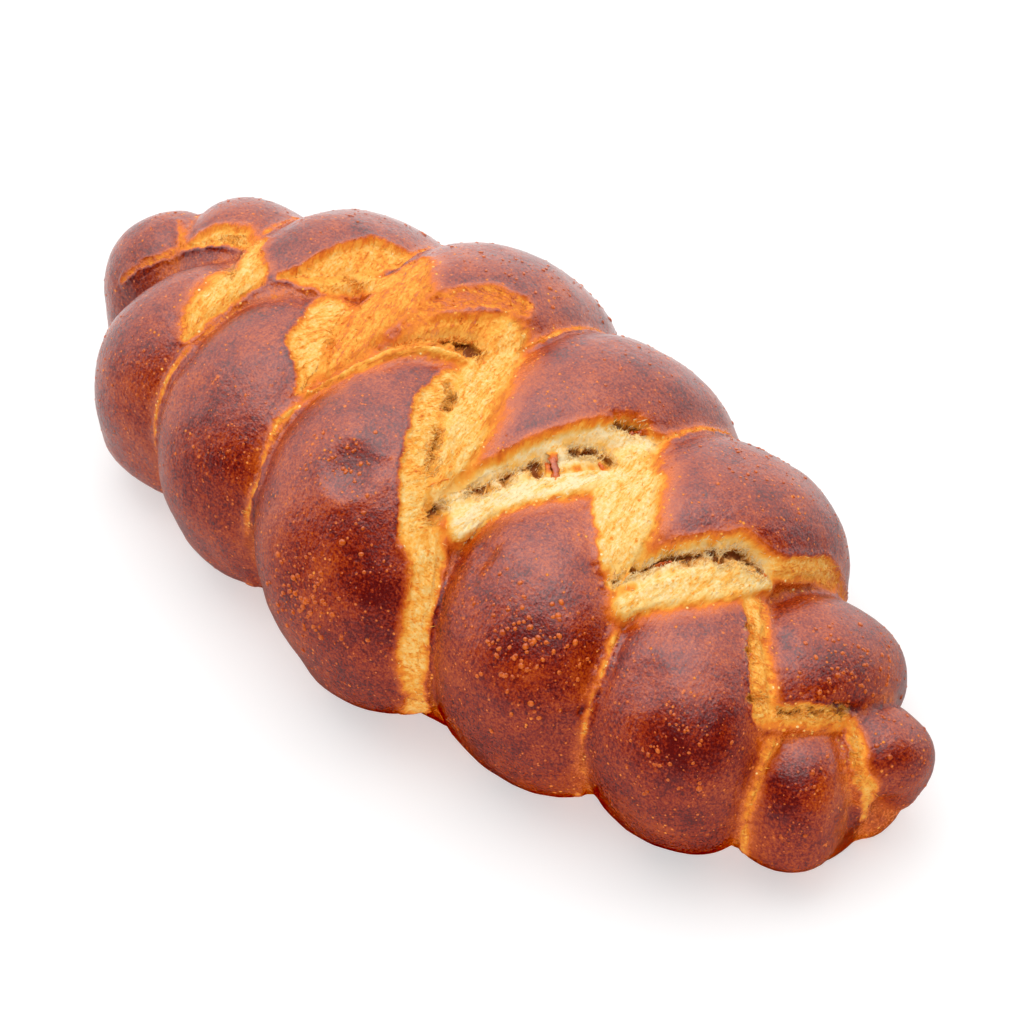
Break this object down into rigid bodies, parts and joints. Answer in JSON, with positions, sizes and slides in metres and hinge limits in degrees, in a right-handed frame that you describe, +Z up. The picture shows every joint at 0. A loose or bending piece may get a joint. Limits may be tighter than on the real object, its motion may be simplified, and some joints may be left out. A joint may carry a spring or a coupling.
{
  "type": "braided loaf",
  "caption": "Plaited enriched bread loaf, egg washed and baked dark brown, resting on its flat underside, with pale torn dough between the strands.",
  "frame": {"origin": "middle of the loaf's box, on the flat underside", "axes": "+X along the plait towards its narrow pinched end, +Y towards the back lobes, +Z up"},
  "size_m": [0.34, 0.169, 0.092],
  "materials": {
    "crust": "glossy egg-washed baked crust"
  },
  "bodies": {
    "root": {"loaf": "crust"}
  },
  "joints": []
}
